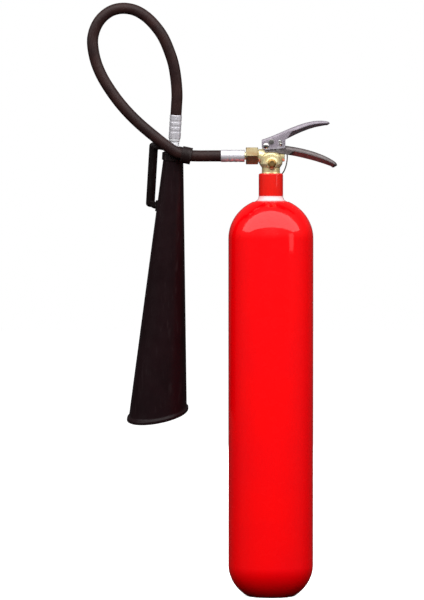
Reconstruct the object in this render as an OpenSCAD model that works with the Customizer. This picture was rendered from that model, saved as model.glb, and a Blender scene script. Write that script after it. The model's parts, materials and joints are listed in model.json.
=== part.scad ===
// Carbon dioxide fire extinguisher: a seamless steel cylinder, a squeeze-lever valve,
// and a looped hose that ends in a discharge horn.
// The origin is the centre of the ring that it stands on. +Z is up, +X is the way the
// levers point, and -Y is the front, where the relief plug is.

/* [Cylinder] */
// Outside diameter of the cylinder
body_d = 136; // [134:1:138]
// Length of the straight wall
body_h = 523; // [500:1:540]
// Thickness of the steel wall
wall = 4.5; // [4:0.5:5]
// Height of the domed shoulder, if it ran on to the axis
top_dome_h = 65; // [62:1:68]
// Height of the domed base, if it ran on to the axis
base_dome_h = 60; // [57:1:63]
// Outer radius of the flat ring that the cylinder stands on
base_ring_r = 38; // [36:1:40]
// Depth of the hollow in the base
punt_h = 9; // [7:1:10]

/* [Neck] */
// Outside diameter of the neck collar
collar_d = 39; // [38:1:41]
// Height of the neck collar
collar_h = 36; // [34:1:37]
// Radius of the hollow curve between the shoulder and the collar
neck_fillet = 9.5; // [8:0.5:10]

/* [Levers] */
// Outside width of the squeeze lever
lever_w = 28; // [28:1:30]
// Outside width of the carrying handle
handle_w = 23; // [22.8:0.1:23]
// Thickness of the sheet steel in both
sheet = 2; // [1.6:0.1:2]
// Diameter of the pivot rivet
pivot_d = 5; // [4.5:0.5:5]

/* [Safety pin] */
// Diameter of the safety pin
pin_d = 4.5; // [4:0.5:4.5]
// Width of the pull ring to the middle of its wire
ring_w = 22; // [21:1:24]
// Height of the pull ring to the middle of its wire
ring_h = 48; // [46:1:50]
// Diameter of the ring's wire
ring_wire = 2; // [1.8:0.1:2]

/* [Hose] */
// Outside diameter of the hose
hose_d = 18; // [17:0.5:18]
// Outside diameter of the crimped ferrules
ferrule_d = 19.4; // [19:0.2:20]
// Length of each ferrule
ferrule_len = 38; // [36:1:38]

/* [Horn] */
// Distance from the hose's end to the middle of the mouth
horn_reach = 488; // [470:1:490]
// Outside radius of the horn's straight neck
horn_neck_r = 16; // [15.5:0.5:16]
// Outside radius of the cone at the middle of the mouth
horn_mouth_r = 46.5; // [44:0.5:48]
// Thickness of the horn's wall
horn_wall = 3; // [2.5:0.5:3]
// How far the rim stands out from the cone
rim_out = 3; // [2.5:0.5:4]
// Height of the rim
rim_h = 6; // [4:0.5:7]
// Slant of the mouth, down towards the outer side, in degrees
mouth_slant = 13.3; // [8:0.1:15]
// Slant of the mouth, down towards the front, in degrees
mouth_dip = 8; // [0:1:10]
// Diameter of the grip bar
grip_d = 14.5; // [13:0.5:15]
// Distance from the horn's axis to the grip bar
grip_reach = 52; // [50:1:56]
// Direction of the grip, in degrees round from the outer side towards the back
grip_turn = 50; // [40:5:55]

/* [Hidden] */
$fn = 96;
gap = 0.1;  // left between pieces that only meet
fit = 0.05; // radial clearance of a turning or sliding fit

// Cylinder and neck
body_r = body_d / 2;
collar_r = collar_d / 2;
base_z = base_dome_h * sqrt(1 - pow(base_ring_r / body_r, 2)); // bottom of the straight wall
shoulder_z = base_z + body_h;                                  // top of the straight wall
fillet_r = collar_r + neck_fillet;                             // where the dome ends
dome_end = acos(fillet_r / body_r);
collar_z = shoulder_z + top_dome_h * sin(dome_end) + neck_fillet;
valve_z = collar_z + collar_h; // top of the collar: the valve's heights start from here
base_flat = 6;                 // width of the ring that touches the floor
punt_r = base_ring_r - base_flat;
neck_r = 16;
neck_bore_r = 12.7;
neck_top = valve_z - 9;
seal_h = 2.5;

// Valve: heights above valve_z, and distances from its axis
shank_r = 12.6;
shank_end = -40;
chamber_r = 7.5;
adapter_top = -5;
relief_h = 15.5;
seat_h = 21;
passage_r = 4.2;
outlet_h = 28;
gland_floor = 36;
gland_r = 4.7;
head_h = 44;
head_w = 18.8;
stem_r = 2.4;
stem_foot = 14;
stem_top = 47;
pivot_x = -8;
pivot_h = 44;
lug_r = 5.5;
rivet_x = 9.5;
rivet_h = 39;
rivet_r = 2;
pin_x = 15.5;
pin_h = 46.5;
press_x = 0.5;
press_r = 3;
press_h = stem_top + 0.2 + press_r;
lever_travel = 12; // degrees, which the pin's slots allow
across = 20;       // half the length of a hole cut right across the valve and levers
relief_x = 1.5;
relief_face = 21;  // how far in front of the axis the relief boss ends
disc_seat = 14;    // how far in front of the axis the burst disc lies
relief_r = 6;

eye_y = 23.5;      // how far behind the axis the pin's eye is
eye_hole_r = 1.35;

// Outlet: distances from the valve's axis, towards -X
outlet_face = 20;
spigot_r = 8.5;
spigot_end = 33;
nut_from = 20.5;
nut_to = 40;
nut_wall = 3.4;
nipple_r = 6;
nipple_bore = 3.5;
ferrule_from = 42;

// Hose and horn
hose_r = hose_d / 2;
hose_start = [-80, 0, 705]; // the hose's ends are face to face with the two ferrules
horn_top = [-152, 17, 771];
lean_out = 3.5;             // lean of the horn away from the cylinder, in degrees
lean_back = 6;              // lean of the horn towards the back, in degrees
boss_from = 51;             // this and the next five are distances down the horn's axis
shoulder_at = 60;
clip_from = 61;
clip_to = 73;
cavity_from = 66;
cone_from = 74;
boss_r = 13;
horn_thread_r = 8;
clip_at = [-135, -2, 706];  // middle of the clip's ring
clip_tilt = 12;
clip_len = 16;
clip_room = 0.9;            // round the hose, which still bends a little inside the ring
clip_wall = 3.6;
foot_at = 149;              // down the horn's axis, where the grip's foot is screwed on
screw_r = 2;
screw_side = 8.5;
screw_seat = 23;            // from the horn's axis to the underside of a screw's head
hose_route = [
    hose_start, [-100, 0, 705], [-119, -1, 705], [-135, -2, 706], [-151, -3, 711],
    [-166, -4, 720.5], [-181, -4, 732], [-197, -3, 745], [-213, -2, 759], [-229, -1, 775],
    [-244, 0, 792.5], [-258, 1, 812], [-270, 2, 832], [-279, 3, 853], [-284, 3, 874],
    [-285, 4, 893], [-280, 4, 911], [-270, 4, 926], [-255, 5, 937], [-237, 5, 941],
    [-218, 5, 938], [-201, 5, 928.5], [-186, 5, 914], [-173, 5, 896], [-163.5, 6.5, 875],
    [-156, 8.5, 852], [-152, 11, 828], [-150.3, 13.5, 804], [-151.1, 15.5, 785], horn_top
];

function horn_r(s) = horn_neck_r
    + max(0, s - cone_from) * (horn_mouth_r - horn_neck_r) / (horn_reach - cone_from);

// ---- shared shapes ----

// Points along an ellipse about [x, z], from one angle to another
function ellipse_arc(x, z, a, b, from, to, steps = 16) =
    [for (i = [0 : steps]) let (t = from + (to - from) * i / steps) [x + a * cos(t), z + b * sin(t)]];

function arc(x, z, r, from, to, steps = 8) = ellipse_arc(x, z, r, r, from, to, steps);

// Points along a smooth curve from p[0] to p[3] that leans towards p[1] and p[2]
function bend(p, steps = 14) =
    [for (i = [0 : steps]) let (t = i / steps, s = 1 - t)
        s * s * s * p[0] + 3 * s * s * t * p[1] + 3 * s * t * t * p[2] + t * t * t * p[3]];

function unit(v) = v / norm(v);

// Tube along a list of points. No part of the route may run along ref.
module sweep(route, r, sides, ref, closed = false) {
    n = len(route);
    points = [for (i = [0 : n - 1]) let (
            before = closed ? route[(i + n - 1) % n] : route[max(i - 1, 0)],
            after = closed ? route[(i + 1) % n] : route[min(i + 1, n - 1)],
            along = unit(after - before),
            u = unit(cross(along, ref)),
            v = cross(u, along))
        for (k = [0 : sides - 1]) let (t = 360 * (k + 0.5) / sides)
            route[i] + r * (cos(t) * u + sin(t) * v)];
    walls = [for (i = [0 : closed ? n - 1 : n - 2], k = [0 : sides - 1]) let (
            j = (i + 1) % n, m = (k + 1) % sides)
        [i * sides + k, i * sides + m, j * sides + m, j * sides + k]];
    caps = closed ? [] : [[for (k = [sides - 1 : -1 : 0]) k],
                          [for (k = [0 : sides - 1]) (n - 1) * sides + k]];
    polyhedron(points, concat(walls, caps), convexity = 8);
}

// Cylinder between two distances along an axis. The children of these modules
// stand along +Z, and each module lays them along its own axis.
module rod(r, from, to) translate([0, 0, from]) cylinder(r = r, h = to - from);

module ring(r, hole, from, to) {
    difference() {
        rod(r, from, to);
        rod(hole, from - 1, to + 1);
    }
}

module valve_axis() translate([0, 0, valve_z]) children();

module outlet_axis() valve_axis() translate([0, 0, outlet_h]) rotate([0, -90, 0]) children();

module relief_axis() valve_axis() translate([relief_x, 0, relief_h]) rotate([90, 0, 0]) children();

// Across the valve, along Y, at a place given in the valve's own heights
module cross_axis(x, h) valve_axis() translate([x, 0, h]) rotate([90, 0, 0]) children();

// Down the horn: children's +Z runs from the hose's end to the mouth, and their +X is
// the outer side
module horn_axis() {
    translate(horn_top) rotate([lean_back, lean_out, 0]) rotate([0, 180, 0]) children();
}

// Side outline in the X-Z plane, given in the valve's heights, made w wide along Y
module side_plate(w) valve_axis() rotate([90, 0, 0]) translate([0, 0, -w / 2]) linear_extrude(w) children();

// Plan outline in the X-Y plane, extruded up through the levers
module plan_plate() translate([0, 0, valve_z - 20]) linear_extrude(150) children();

// Plan of a lever: straight as far as taper_x, then narrower to a round tip
module tapered_plan(half, taper_x, tip_x, tip_r) {
    polygon(concat([[-40, -half], [taper_x, -half]], arc(tip_x, 0, tip_r, -80, 80, 24),
                   [[taper_x, half], [-40, half]]));
}

// Hexagonal bar with chamfered corners at its far end
module hex_bar(across, from, to, chamfer = 1.2) {
    intersection() {
        translate([0, 0, from]) cylinder(d = across / cos(30), h = to - from, $fn = 6);
        rotate_extrude() polygon([[0, from], [across / 2 + 4, from], [across / 2 + 4, to - chamfer * 1.7],
                                  [across / 2, to], [0, to]]);
    }
}

// ---- cylinder and neck ----

module cylinder_shell() {
    inner_r = body_r - wall;
    floor_r = punt_r + 4;
    floor_from = acos(floor_r / inner_r);
    floor_z = base_z - (base_dome_h - wall) * sin(floor_from);
    outside = concat(
        ellipse_arc(0, 0, punt_r, punt_h, 90, 0),
        ellipse_arc(0, base_z, body_r, base_dome_h, -acos(base_ring_r / body_r), 0),
        ellipse_arc(0, shoulder_z, body_r, top_dome_h, 0, dome_end, 24),
        arc(fillet_r, collar_z, neck_fillet, 270, 180),
        [[neck_r, collar_z], [neck_r, neck_top], [0, neck_top]]);
    inside = concat(
        ellipse_arc(0, floor_z, floor_r, punt_h + wall - floor_z, 90, 0),
        ellipse_arc(0, base_z, inner_r, base_dome_h - wall, -floor_from, 0),
        ellipse_arc(0, shoulder_z, inner_r, top_dome_h - wall, 0, acos(neck_bore_r / inner_r), 24),
        [[neck_bore_r, neck_top + 1], [0, neck_top + 1]]);
    color("red") rotate_extrude($fn = 128) difference() {
        polygon(outside);
        polygon(inside);
    }
}

// Screwed over the neck, as the thread for a valve guard or cap
module neck_collar() {
    edge = 2.5;
    color("red") rotate_extrude() polygon(concat(
        [[neck_r + gap, collar_z + gap], [collar_r, collar_z + gap]],
        arc(collar_r - edge, valve_z - edge, edge, 0, 90),
        [[neck_r + gap, valve_z]]));
}

module neck_seal() {
    color("dimgray") ring(neck_r - 0.5, shank_r + gap, neck_top, neck_top + seal_h);
}

// ---- valve ----

module valve_body() {
    flange_h = neck_top + seal_h - valve_z;
    waist = [[0, -1], [14.5, -1], [14.5, 9], [18.5, 15], [18.5, 28], [14, 33], [0, 33]];
    color("goldenrod") difference() {
        union() {
            valve_axis() {
                rod(shank_r, shank_end, flange_h);
                rod(neck_r - 0.5, flange_h, 0.5);
                intersection() {
                    rotate_extrude() polygon(waist);
                    translate([-30, -16, -1]) cube([60, 32, 40]);
                }
                translate([-13.5, -head_w / 2, 30]) cube([27, head_w, head_h - 30]);
            }
            outlet_axis() {
                rod(11, 0, outlet_face);
                rod(spigot_r, 0, spigot_end);
                rod(9, -22, 0);
            }
            relief_axis() rod(8.5, 0, relief_face);
            cross_axis(pivot_x, pivot_h) rod(lug_r, -head_w / 2, head_w / 2);
        }
        valve_axis() {
            rod(chamber_r, shank_end - 1, seat_h);
            rod(passage_r, 0, gland_floor + 1);
            rod(gland_r, gland_floor, head_h + 8);
        }
        outlet_axis() rod(nipple_bore, 0, spigot_end + 1);
        relief_axis() {
            rod(3, 0, relief_face);
            rod(relief_r, disc_seat, relief_face + 1);
        }
        cross_axis(pivot_x, pivot_h) rod(pivot_d / 2, -across, across);
        cross_axis(rivet_x, rivet_h) rod(rivet_r, -across, across);
    }
}

// Screwed up into the valve: it carries the spring and holds the dip tube
module dip_tube_adapter() {
    color("goldenrod") valve_axis() difference() {
        union() {
            rod(chamber_r, shank_end - gap, adapter_top);
            rod(10, -46, shank_end - gap);
            rod(8, -56, -46);
        }
        rod(4, -60, 0);
        rod(6, -57, -46);
    }
}

module dip_tube() {
    color("silver") difference() {
        ring(6, 4.6, 18, valve_z - 46 - gap);
        translate([-10, -10, 18]) rotate([0, -35, 0]) translate([0, 0, -20]) cube([30, 20, 20]);
    }
}

module valve_spring() {
    turns = 6;
    coil_r = 5.6;
    wire_r = 0.8;
    steps = 14;
    low = valve_z + adapter_top + wire_r + 0.05;
    high = valve_z + stem_foot - wire_r - 0.1;
    route = [for (i = [0 : turns * steps]) let (t = 360 * i / steps)
        [coil_r * cos(t), coil_r * sin(t), low + (high - low) * i / (turns * steps)]];
    color("silver") sweep(route, wire_r, 6, [0, 0, 1]);
}

module gland_nut() {
    color("goldenrod") valve_axis() difference() {
        ring(gland_r, stem_r + fit, gland_floor + 2.2, head_h);
        translate([-0.75, -6, head_h - 1.5]) cube([1.5, 12, 4]);
    }
}

module stem_o_ring() {
    color("black") valve_axis() ring(gland_r - gap, stem_r + fit, gland_floor, gland_floor + 2.1);
}

module relief_plug() {
    head_to = relief_face + 5;
    color("peru") relief_axis() difference() {
        union() {
            rod(relief_r, disc_seat + 1.8, relief_face);
            hex_bar(13, relief_face, head_to);
        }
        rod(2, disc_seat, head_to - 2);
        translate([0, 0, head_to - 2.6]) rotate([0, 90, 0]) translate([0, 0, -9]) cylinder(r = 1, h = 18);
    }
}

module burst_disc() {
    color("silver") relief_axis() rod(relief_r - gap, disc_seat, disc_seat + 0.6);
}

module relief_washer() {
    color("darkorange") relief_axis() ring(relief_r - gap, 2.2, disc_seat + 0.7, disc_seat + 1.7);
}

// ---- moving parts of the valve ----

// Its foot seats the pad, and its top stands out of the gland under the press pin
module valve_stem() {
    color("silver") valve_axis() {
        rod(5.5, stem_foot, stem_foot + 2.4);
        rod(stem_r, stem_foot, stem_top);
    }
}

module seat_pad() {
    color("ivory") valve_axis() ring(6.8, stem_r + fit, stem_foot + 2.5, seat_h - gap);
}

module press_pin() {
    grow = 1.2;
    color("silver") cross_axis(press_x, press_h) {
        rod(press_r, -lever_w / 2, lever_w / 2);
        rod(press_r + grow, lever_w / 2, lever_w / 2 + 1);
        rod(press_r + grow, -lever_w / 2 - 1, -lever_w / 2);
    }
}

// ---- levers ----

module lever_side(drop) {
    top = bend([[-14, 54], [18, 63], [58, 92], [94, 82]]);
    under = bend([[92, 77], [70, 76], [50, 68], [23, 54]]);
    polygon(concat(
        [for (p = top) p - [0, drop]],
        [for (p = under) p - [0, drop * 10]],
        arc(20, 43 - drop * 10, 3, 0, -90, 5),
        arc(pivot_x, pivot_h - drop * 10, 6.5, -90, -180, 8)));
}

module squeeze_lever() {
    slot_r = norm([pin_x - pivot_x, pin_h - pivot_h]);
    slot_from = atan2(pin_h - pivot_h, pin_x - pivot_x);
    slot_w = pin_d + 0.5;
    color("slategray") difference() {
        intersection() {
            side_plate(lever_w) lever_side(0);
            plan_plate() tapered_plan(lever_w / 2, 40, 83, 11);
        }
        intersection() {
            side_plate(lever_w) lever_side(sheet);
            plan_plate() tapered_plan(lever_w / 2 - sheet, 40, 83, 11 - sheet);
        }
        cross_axis(pivot_x, pivot_h) rod(pivot_d / 2 + fit, -across, across);
        cross_axis(press_x, press_h) rod(press_r, -across, across);
        side_plate(lever_w + 2) polygon(concat(
            arc(pivot_x, pivot_h, slot_r + slot_w / 2, slot_from, slot_from + lever_travel, 6),
            arc(pivot_x, pivot_h, slot_r - slot_w / 2, slot_from + lever_travel, slot_from, 6)));
        for (a = [0, lever_travel]) cross_axis(pivot_x, pivot_h) rotate([0, 0, slot_from + a])
            translate([slot_r, 0, 0]) rod(slot_w / 2, -across, across);
    }
}

module handle_side(drop) {
    top = bend([[21, 44.5], [50, 41], [84, 33], [106, 16]]);
    under = bend([[101, 9.5], [80, 18], [50, 27], [8, 33]]);
    polygon(concat([[8, 43.5 - drop]], [for (p = top) p - [0, drop]], [for (p = under) p - [0, drop * 10]]));
}

module carry_handle() {
    ear_r = 5.6;    // round the pivot and the pin
    ear_low = 34;
    color("dimgray") difference() {
        intersection() {
            union() {
                side_plate(handle_w) handle_side(0);
                cross_axis(pivot_x, pivot_h) rod(ear_r, -handle_w / 2, handle_w / 2);
                side_plate(handle_w) translate([pivot_x - 2, ear_low]) square([pin_x - pivot_x, 10]);
                cross_axis(pin_x, pin_h) rod(ear_r, -handle_w / 2, handle_w / 2);
            }
            plan_plate() tapered_plan(handle_w / 2, 55, 97, 9);
        }
        intersection() {
            union() {
                side_plate(handle_w) handle_side(sheet);
                side_plate(handle_w) translate([-20, 0]) square([41, 60]);
            }
            plan_plate() tapered_plan(handle_w / 2 - sheet, 55, 97, 9 - sheet);
        }
        cross_axis(pivot_x, pivot_h) rod(pivot_d / 2, -across, across);
        cross_axis(rivet_x, rivet_h) rod(rivet_r, -across, across);
        cross_axis(pin_x, pin_h) rod(pin_d / 2 + fit, -across, across);
    }
}

// Ground flush with the handle, because the lever's sides pass close over its ends
module handle_rivet() {
    color("silver") cross_axis(rivet_x, rivet_h) rod(rivet_r, -handle_w / 2, handle_w / 2);
}

// The lever turns on it, between a low domed head at each end
module pivot_rivet() {
    half = lever_w / 2 + 0.3;
    head_r = 4.6;
    color("silver") cross_axis(pivot_x, pivot_h) {
        rod(pivot_d / 2, -half, half);
        for (side = [0, 180]) rotate([side, 0, 0]) rotate_extrude()
            polygon(concat([[0, half]], ellipse_arc(0, half, head_r, head_r * 0.5, 0, 90, 8)));
    }
}

module safety_pin() {
    eye_r = 4.2;
    front = lever_w / 2 + 3;
    color("silver") difference() {
        union() {
            cross_axis(pin_x, pin_h) {
                rod(pin_d / 2, -eye_y + 3, front - 1);
                rotate_extrude() polygon([[0, front - 1], [pin_d / 2, front - 1], [pin_d / 2 - 1, front], [0, front]]);
                rod(pin_d / 2 + 1.6, -lever_w / 2 - 2.6, -lever_w / 2 - 0.6);
            }
            translate([pin_x - 1.2, eye_y, valve_z + pin_h]) rotate([0, 90, 0]) cylinder(r = eye_r, h = 2.4);
        }
        translate([pin_x - 5, eye_y, valve_z + pin_h]) rotate([0, 90, 0]) cylinder(r = eye_hole_r, h = 10);
    }
}

// Hangs from the pin's eye, and is narrower at the bottom
module pull_ring() {
    steps = 40;
    route = [for (i = [0 : steps - 1]) let (t = 360 * i / steps)
        [pin_x + ring_w / 2 * cos(t) * (1 + 0.2 * sin(t)), eye_y,
         valve_z + pin_h - ring_h / 2 + ring_h / 2 * sin(t)]];
    color("silver") sweep(route, ring_wire / 2, 8, [0, 1, 0], closed = true);
}

// ---- outlet, hose and its fittings ----

module union_nut() {
    color("darkgoldenrod") outlet_axis() difference() {
        rotate([0, 0, 30]) hex_bar(27, nut_from, nut_to, 1.5);
        rod(spigot_r, nut_from - 1, spigot_end);
        rod(spigot_r + gap, spigot_end, nut_to - nut_wall);
        rod(nipple_r + fit, nut_from, nut_to + 1);
    }
}

module union_washer() {
    color("white") outlet_axis() ring(spigot_r, nipple_bore + gap, spigot_end + gap, spigot_end + 1.5);
}

module valve_nipple() {
    color("goldenrod") outlet_axis() difference() {
        union() {
            rod(spigot_r - 0.2, spigot_end + 1.6, nut_to - nut_wall - gap);
            rod(nipple_r, spigot_end + 1.6, ferrule_from + ferrule_len);
        }
        rod(nipple_bore, 0, 100);
    }
}

// Sleeve pressed on over the hose's end in three bands, from the distance "from" on
module ferrule(from) {
    difference() {
        ring(ferrule_d / 2, nipple_r + gap, from, from + ferrule_len);
        for (i = [1 : 3]) ring(ferrule_d, ferrule_d / 2 - 0.7, from + 8 * i, from + 8 * i + 4);
    }
}

module valve_ferrule() {
    color("silver") outlet_axis() ferrule(ferrule_from);
}

module hose() {
    color([0.15, 0.11, 0.1]) sweep(hose_route, hose_r, 12, [0, 1, 0]);
}

module horn_ferrule() {
    color("silver") horn_axis() ferrule(0);
}

module horn_nipple() {
    color("gainsboro") horn_axis() difference() {
        union() {
            rod(nipple_r, 0, ferrule_len + 1);
            rod(horn_thread_r + 1, ferrule_len + gap, ferrule_len + 4);
            rod(horn_thread_r, ferrule_len + 3, cavity_from + 5);
        }
        rod(nipple_bore, -1, 100);
    }
}

// Throttles the discharge at the top of the horn
module discharge_nozzle() {
    top = cavity_from + gap;
    mid = cavity_from + 6;
    color("goldenrod") horn_axis() difference() {
        union() {
            rod(11, top, mid);
            translate([0, 0, mid]) cylinder(r1 = 11, r2 = 6, h = 18);
        }
        rod(horn_thread_r, 0, mid - 1);
        rod(2.5, 0, mid + 20);
    }
}

// ---- horn ----

// Everything on the far side of the mouth's slanted plane, moved "from" along it
module beyond_mouth(from) {
    size = 300;
    translate([0, 0, horn_reach]) rotate([-mouth_dip, -mouth_slant, 0])
        translate([-size / 2, -size / 2, from]) cube(size);
}

// Solid cone that stands "out" proud of the horn's outside, from the distance "from" on
module horn_cone(out, from) {
    to = horn_reach + 40;
    knee = from < cone_from ? [[horn_neck_r + out, cone_from]] : [];
    rotate_extrude() polygon(concat([[0, from], [horn_r(from) + out, from]], knee,
                                    [[horn_r(to) + out, to], [0, to]]));
}

// The two places where the grip's foot is screwed on, with children's +Z outwards
module screw_places() {
    horn_axis() rotate([0, 0, grip_turn]) for (side = [-1, 1])
        translate([0, side * screw_side, foot_at]) rotate([0, 90, 0]) children();
}

module horn() {
    color([0.12, 0.1, 0.1]) difference() {
        horn_axis() difference() {
            union() {
                rod(boss_r, boss_from, shoulder_at + 1);
                horn_cone(0, shoulder_at);
                intersection() {
                    horn_cone(rim_out, horn_reach - 60);
                    beyond_mouth(-rim_h);
                }
            }
            beyond_mouth(0);
            horn_cone(-horn_wall, cavity_from);
            rod(horn_thread_r + gap, boss_from - 1, cavity_from + 1);
        }
        screw_places() rod(screw_r, 10, 30);
    }
}

// A ring round the hose and a band round the horn's neck, joined by a saddle
module hose_clip() {
    ring_r = hose_r + clip_room + clip_wall;
    band = 2.4;
    saddle = [18, 16, 13];
    saddle_at = clip_at + [-11, 5, -7];
    color([0.1, 0.1, 0.1]) difference() {
        union() {
            clip_axis() rod(ring_r, -clip_len / 2, clip_len / 2);
            translate(saddle_at) cube(saddle);
            horn_axis() rod(horn_neck_r + band, clip_from, clip_to);
        }
        clip_axis() rod(hose_r + clip_room, -40, 40);
        horn_axis() rod(horn_neck_r + gap, 40, 100);
    }
}

module clip_axis() translate(clip_at) rotate([0, -90 + clip_tilt, 0]) children();

module horn_grip() {
    bar_from = (boss_from + shoulder_at) / 2;
    bar_r = grip_d / 2;
    end_h = 6; // rounded ends of the bar
    arm_w = 8;
    color([0.1, 0.1, 0.1]) difference() {
        horn_axis() rotate([0, 0, grip_turn]) {
            rod(boss_r + 2.6, boss_from + 0.2, shoulder_at - gap);
            translate([0, -arm_w / 2, bar_from - arm_w / 2]) cube([grip_reach, arm_w, arm_w]);
            translate([0, -arm_w / 2, foot_at - arm_w / 2]) cube([grip_reach, arm_w, arm_w]);
            translate([grip_reach, 0, 0]) rotate_extrude() polygon(concat(
                ellipse_arc(0, bar_from, bar_r, end_h, -90, 0, 8),
                ellipse_arc(0, foot_at, bar_r, end_h, 0, 90, 8)));
            translate([10, -13, foot_at - 9]) cube([screw_seat - 10, 26, 18]);
        }
        horn_axis() {
            rod(boss_r + gap, 0, shoulder_at + 1);
            horn_cone(gap, shoulder_at);
        }
        screw_places() rod(screw_r, 10, 30);
    }
}

module grip_screws() {
    color("silver") screw_places() difference() {
        union() {
            rod(screw_r, 16, screw_seat + 1);
            rod(3.8, screw_seat + gap, screw_seat + 2.4);
        }
        translate([0, 0, screw_seat + 1.2]) cylinder(d = 2.9, h = 5, $fn = 6);
    }
}

cylinder_shell();
neck_collar();
neck_seal();
valve_body();
dip_tube_adapter();
dip_tube();
valve_spring();
gland_nut();
stem_o_ring();
relief_plug();
burst_disc();
relief_washer();
carry_handle();
handle_rivet();
pivot_rivet();
union_nut();
union_washer();
squeeze_lever();
press_pin();
valve_stem();
seat_pad();
safety_pin();
pull_ring();
valve_nipple();
valve_ferrule();
hose();
horn_ferrule();
horn_nipple();
discharge_nozzle();
horn();
hose_clip();
horn_grip();
grip_screws();
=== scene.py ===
import json
import math
import bmesh
import bpy
from mathutils import Matrix, Vector


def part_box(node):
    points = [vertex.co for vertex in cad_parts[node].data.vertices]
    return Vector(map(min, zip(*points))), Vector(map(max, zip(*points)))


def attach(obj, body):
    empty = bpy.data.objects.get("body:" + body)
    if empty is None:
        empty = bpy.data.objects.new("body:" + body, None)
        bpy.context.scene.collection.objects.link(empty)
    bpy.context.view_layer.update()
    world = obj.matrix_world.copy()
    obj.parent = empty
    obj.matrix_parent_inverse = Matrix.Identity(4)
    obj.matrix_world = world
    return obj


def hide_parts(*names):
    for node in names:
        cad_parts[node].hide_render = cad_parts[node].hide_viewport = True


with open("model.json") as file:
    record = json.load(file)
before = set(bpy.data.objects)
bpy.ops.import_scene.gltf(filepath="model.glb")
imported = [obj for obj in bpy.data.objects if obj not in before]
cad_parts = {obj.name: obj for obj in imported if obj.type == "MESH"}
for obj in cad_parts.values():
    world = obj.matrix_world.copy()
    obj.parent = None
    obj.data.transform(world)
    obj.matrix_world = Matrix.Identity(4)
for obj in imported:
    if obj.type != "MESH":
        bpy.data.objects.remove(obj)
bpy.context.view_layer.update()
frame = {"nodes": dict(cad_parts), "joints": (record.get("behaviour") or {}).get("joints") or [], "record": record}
JOINTS = {joint["name"]: joint for joint in frame["joints"]}
SLOT_OF = {part["node"]: part["material_slot"] for part in frame["record"]["subparts"]}
BODY_OF = {node: body for body, nodes in frame["record"]["behaviour"]["bodies"].items()
           for node in nodes}
MM = 0.001

# --------------------------------------
# Camera, at the photograph's angle: far off, and a little above the middle
# --------------------------------------

CAMERA_DISTANCE = 5.5
CAMERA_RISE = math.radians(1.5)
CAMERA_TARGET = Vector((-0.0942, 0.0, 0.4745))
CAMERA_REACH = 5.725  # focal length as a multiple of the sensor's long side


def make_camera():
    data = bpy.data.cameras.new("camera")
    data.lens = CAMERA_REACH * data.sensor_width
    data.clip_end = 50
    camera = bpy.data.objects.new("camera", data)
    bpy.context.scene.collection.objects.link(camera)
    back = Vector((0, -math.cos(CAMERA_RISE), math.sin(CAMERA_RISE)))
    camera.location = CAMERA_TARGET + back * CAMERA_DISTANCE
    camera.rotation_mode = "QUATERNION"
    camera.rotation_quaternion = (-back).to_track_quat("-Z", "Y")
    bpy.context.scene.camera = camera


make_camera()

# --------------------------------------
# Axes that the pieces are made along. Each turns millimetres along the piece's
# own axis into metres in the frame, as the CAD's axis modules do.
# --------------------------------------

SCALE = Matrix.Scale(MM, 4)
VALVE_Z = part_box("neck_collar")[1].z
OUTLET_AT = Vector(JOINTS["hose_swivel"]["pos_m"])
PIVOT_AT = Vector(JOINTS["lever_squeeze"]["pos_m"])
EYE_AT = Vector(JOINTS["ring_swing"]["pos_m"])
HORN_TOP = Vector((-0.152, 0.017, 0.771))
LEAN_OUT = math.radians(3.5)
LEAN_BACK = math.radians(6)
GRIP_TURN = math.radians(50)

VALVE = Matrix.Translation((0, 0, VALVE_Z)) @ SCALE
OUTLET = Matrix.Translation((0, 0, OUTLET_AT.z)) @ Matrix.Rotation(-math.pi / 2, 4, "Y") @ SCALE
HORN = (Matrix.Translation(HORN_TOP) @ Matrix.Rotation(LEAN_OUT, 4, "Y")
        @ Matrix.Rotation(LEAN_BACK, 4, "X") @ Matrix.Rotation(math.pi, 4, "Y") @ SCALE)
GRIP = HORN @ Matrix.Rotation(GRIP_TURN, 4, "Z")
TO_FRONT = Matrix.Rotation(math.pi / 2, 4, "X")


def valve_height(z):
    """A height in the frame, as millimetres above the top of the neck collar."""
    return (z - VALVE_Z) / MM


def crossing(x, height):
    """An axis towards the front, -Y, through a place given in the valve's own heights."""
    return VALVE @ Matrix.Translation((x, 0, height)) @ TO_FRONT


# --------------------------------------
# Outlines
# --------------------------------------


def arc(x, z, rx, rz, start, end, steps=12):
    """Points along an ellipse about (x, z), between two angles in degrees."""
    angles = [math.radians(start + (end - start) * i / steps) for i in range(steps + 1)]
    return [(x + rx * math.cos(a), z + rz * math.sin(a)) for a in angles]


def bend(points, steps=24):
    """Points along a smooth curve from the first to the last, as the CAD's bend."""
    a, b, c, d = (Vector(p) for p in points)
    made = []
    for i in range(steps + 1):
        t = i / steps
        s = 1 - t
        made.append(a * s ** 3 + 3 * b * s * s * t + 3 * c * s * t * t + d * t ** 3)
    return made


def height_at(points, x):
    """Height of a line of (x, z) points at x."""
    for (x0, z0), (x1, z1) in zip(points, points[1:]):
        if min(x0, x1) <= x <= max(x0, x1):
            return z0 + (z1 - z0) * (x - x0) / (x1 - x0)
    nearest = min(points, key=lambda p: abs(p[0] - x))
    return nearest[1]


def eased(points, radius, steps=3):
    """An outline with its corners rounded off, apart from its two ends."""
    points = [Vector(p) for p in points]
    made = [points[0]]
    for before, corner, after in zip(points, points[1:], points[2:]):
        into, out = corner - before, after - corner
        reach = min(radius, into.length * 0.45, out.length * 0.45)
        a, b = corner - into.normalized() * reach, corner + out.normalized() * reach
        for i in range(steps + 1):
            t = i / steps
            made.append(a * (1 - t) ** 2 + 2 * corner * t * (1 - t) + b * t * t)
    return made + [points[-1]]


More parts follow.
